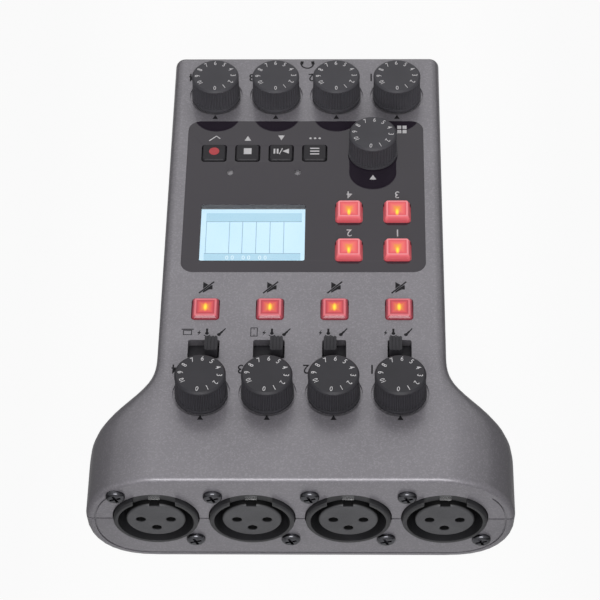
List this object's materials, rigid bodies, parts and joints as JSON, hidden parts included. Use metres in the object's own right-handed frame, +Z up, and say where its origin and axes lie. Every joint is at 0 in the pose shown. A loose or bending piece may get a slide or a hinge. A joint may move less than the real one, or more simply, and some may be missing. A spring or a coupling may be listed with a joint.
{
  "type": "digital mixer",
  "caption": "Palm-sized digital audio mixer and recorder with a flared microphone-socket end, level knobs, lit mute and pad buttons, input switches and a small display.",
  "frame": {"origin": "centre of the footprint on the table, under the feet", "axes": "+Z up, +Y along the case away from the microphone sockets, +X to the right as the picture shows it"},
  "size_m": [0.1114, 0.1564, 0.0466],
  "materials": {
    "case_paint": "metallic grey paint, satin",
    "gloss_black": "gloss",
    "window": "clear",
    "display": "lit",
    "board": "solder mask",
    "socket": "satin",
    "insert": "satin",
    "contact": "plated",
    "steel": "bright",
    "black_screw": "black oxide",
    "switch_body": "satin",
    "lamp": "clear",
    "jack": "satin",
    "cell": "printed sleeve",
    "rubber": "matte",
    "knob": "soft satin",
    "shaft": "satin",
    "key": "satin",
    "lit_button": "translucent"
  },
  "bodies": {
    "case": {"upper_case": "case_paint", "lower_case": "case_paint", "display_panel": "gloss_black", "display_window": "window", "lcd_module": "display", "control_board": "board", "input_board": "board", "xlr_shells": "socket", "xlr_inserts": "insert", "xlr_contacts": "contact", "xlr_springs": "steel", "xlr_screws": "black_screw", "potentiometers": "switch_body", "slide_switches": "steel", "tact_switches": "steel", "button_leds": "lamp", "status_lights": "lamp", "audio_jacks": "jack", "usb_ports": "steel", "card_reader": "steel", "battery_cells": "cell", "battery_contacts": "steel", "rubber_feet": "rubber", "case_screws": "black_screw"},
    "gain_knob_1": {"gain_knob_1": "knob", "gain_shaft_1": "shaft"},
    "gain_knob_2": {"gain_knob_2": "knob", "gain_shaft_2": "shaft"},
    "gain_knob_3": {"gain_knob_3": "knob", "gain_shaft_3": "shaft"},
    "gain_knob_4": {"gain_knob_4": "knob", "gain_shaft_4": "shaft"},
    "phones_knob_1": {"phones_knob_1": "knob", "phones_shaft_1": "shaft"},
    "phones_knob_2": {"phones_knob_2": "knob", "phones_shaft_2": "shaft"},
    "phones_knob_3": {"phones_knob_3": "knob", "phones_shaft_3": "shaft"},
    "phones_knob_4": {"phones_knob_4": "knob", "phones_shaft_4": "shaft"},
    "pad_knob": {"pad_knob": "knob", "pad_shaft": "shaft"},
    "input_switch_1": {"input_switch_1": "key"},
    "input_switch_2": {"input_switch_2": "key"},
    "input_switch_3": {"input_switch_3": "key"},
    "input_switch_4": {"input_switch_4": "key"},
    "mute_button_1": {"mute_button_1": "lit_button"},
    "mute_button_2": {"mute_button_2": "lit_button"},
    "mute_button_3": {"mute_button_3": "lit_button"},
    "mute_button_4": {"mute_button_4": "lit_button"},
    "pad_button_1": {"pad_button_1": "lit_button"},
    "pad_button_2": {"pad_button_2": "lit_button"},
    "pad_button_3": {"pad_button_3": "lit_button"},
    "pad_button_4": {"pad_button_4": "lit_button"},
    "record_button": {"record_button": "key"},
    "stop_button": {"stop_button": "key"},
    "play_button": {"play_button": "key"},
    "menu_button": {"menu_button": "key"},
    "power_slider": {"power_slider": "key"},
    "battery_door": {"battery_door": "case_paint"}
  },
  "joints": [
    {"name": "gain_knob_1_turn", "type": "hinge", "parent": "case", "child": "gain_knob_1", "pos_m": [-0.02592, -0.04855, 0.03774], "axis": [0, -0.1202, -0.9928], "range_deg": [0, 300]},
    {"name": "gain_knob_2_turn", "type": "hinge", "parent": "case", "child": "gain_knob_2", "pos_m": [-0.00864, -0.04855, 0.03774], "axis": [0, -0.1202, -0.9928], "range_deg": [0, 300]},
    {"name": "gain_knob_3_turn", "type": "hinge", "parent": "case", "child": "gain_knob_3", "pos_m": [0.00864, -0.04855, 0.03774], "axis": [0, -0.1202, -0.9928], "range_deg": [0, 300]},
    {"name": "gain_knob_4_turn", "type": "hinge", "parent": "case", "child": "gain_knob_4", "pos_m": [0.02592, -0.04855, 0.03774], "axis": [0, -0.1202, -0.9928], "range_deg": [0, 300]},
    {"name": "phones_knob_1_turn", "type": "hinge", "parent": "case", "child": "phones_knob_1", "pos_m": [-0.02592, 0.06155, 0.02441], "axis": [0, -0.1202, -0.9928], "range_deg": [0, 300]},
    {"name": "phones_knob_2_turn", "type": "hinge", "parent": "case", "child": "phones_knob_2", "pos_m": [-0.00864, 0.06155, 0.02441], "axis": [0, -0.1202, -0.9928], "range_deg": [0, 300]},
    {"name": "phones_knob_3_turn", "type": "hinge", "parent": "case", "child": "phones_knob_3", "pos_m": [0.00864, 0.06155, 0.02441], "axis": [0, -0.1202, -0.9928], "range_deg": [0, 300]},
    {"name": "phones_knob_4_turn", "type": "hinge", "parent": "case", "child": "phones_knob_4", "pos_m": [0.02592, 0.06155, 0.02441], "axis": [0, -0.1202, -0.9928], "range_deg": [0, 300]},
    {"name": "pad_knob_turn", "type": "hinge", "parent": "case", "child": "pad_knob", "pos_m": [0.01903, 0.03865, 0.02718], "axis": [0, -0.1202, -0.9928], "range_deg": [0, 300]},
    {"name": "input_switch_1_slide", "type": "slide", "parent": "case", "child": "input_switch_1", "axis": [1, 0, 0], "range_m": [-0.0041, 0]},
    {"name": "input_switch_2_slide", "type": "slide", "parent": "case", "child": "input_switch_2", "axis": [1, 0, 0], "range_m": [-0.0041, 0]},
    {"name": "input_switch_3_slide", "type": "slide", "parent": "case", "child": "input_switch_3", "axis": [1, 0, 0], "range_m": [0, 0.0021]},
    {"name": "input_switch_4_slide", "type": "slide", "parent": "case", "child": "input_switch_4", "axis": [1, 0, 0], "range_m": [0, 0.0021]},
    {"name": "mute_button_1_press", "type": "slide", "parent": "case", "child": "mute_button_1", "axis": [0, -0.1202, -0.9928], "range_m": [0, 0.0005], "stiffness_N_per_m": 300, "springref_m": -0.0008},
    {"name": "mute_button_2_press", "type": "slide", "parent": "case", "child": "mute_button_2", "axis": [0, -0.1202, -0.9928], "range_m": [0, 0.0005], "stiffness_N_per_m": 300, "springref_m": -0.0008},
    {"name": "mute_button_3_press", "type": "slide", "parent": "case", "child": "mute_button_3", "axis": [0, -0.1202, -0.9928], "range_m": [0, 0.0005], "stiffness_N_per_m": 300, "springref_m": -0.0008},
    {"name": "mute_button_4_press", "type": "slide", "parent": "case", "child": "mute_button_4", "axis": [0, -0.1202, -0.9928], "range_m": [0, 0.0005], "stiffness_N_per_m": 300, "springref_m": -0.0008},
    {"name": "pad_button_1_press", "type": "slide", "parent": "case", "child": "pad_button_1", "axis": [0, -0.1202, -0.9928], "range_m": [0, 0.0005], "stiffness_N_per_m": 300, "springref_m": -0.0008},
    {"name": "pad_button_2_press", "type": "slide", "parent": "case", "child": "pad_button_2", "axis": [0, -0.1202, -0.9928], "range_m": [0, 0.0005], "stiffness_N_per_m": 300, "springref_m": -0.0008},
    {"name": "pad_button_3_press", "type": "slide", "parent": "case", "child": "pad_button_3", "axis": [0, -0.1202, -0.9928], "range_m": [0, 0.0005], "stiffness_N_per_m": 300, "springref_m": -0.0008},
    {"name": "pad_button_4_press", "type": "slide", "parent": "case", "child": "pad_button_4", "axis": [0, -0.1202, -0.9928], "range_m": [0, 0.0005], "stiffness_N_per_m": 300, "springref_m": -0.0008},
    {"name": "record_button_press", "type": "slide", "parent": "case", "child": "record_button", "axis": [0, -0.1202, -0.9928], "range_m": [0, 0.0005], "stiffness_N_per_m": 300, "springref_m": -0.0008},
    {"name": "stop_button_press", "type": "slide", "parent": "case", "child": "stop_button", "axis": [0, -0.1202, -0.9928], "range_m": [0, 0.0005], "stiffness_N_per_m": 300, "springref_m": -0.0008},
    {"name": "play_button_press", "type": "slide", "parent": "case", "child": "play_button", "axis": [0, -0.1202, -0.9928], "range_m": [0, 0.0005], "stiffness_N_per_m": 300, "springref_m": -0.0008},
    {"name": "menu_button_press", "type": "slide", "parent": "case", "child": "menu_button", "axis": [0, -0.1202, -0.9928], "range_m": [0, 0.0005], "stiffness_N_per_m": 300, "springref_m": -0.0008},
    {"name": "power_slide", "type": "slide", "parent": "case", "child": "power_slider", "axis": [0, 0.9928, -0.1202], "range_m": [0, 0.004]},
    {"name": "battery_door_hinge", "type": "hinge", "parent": "case", "child": "battery_door", "pos_m": [0, -0.0164, 0.0036], "axis": [-1, 0, 0], "range_deg": [0, 90]}
  ]
}
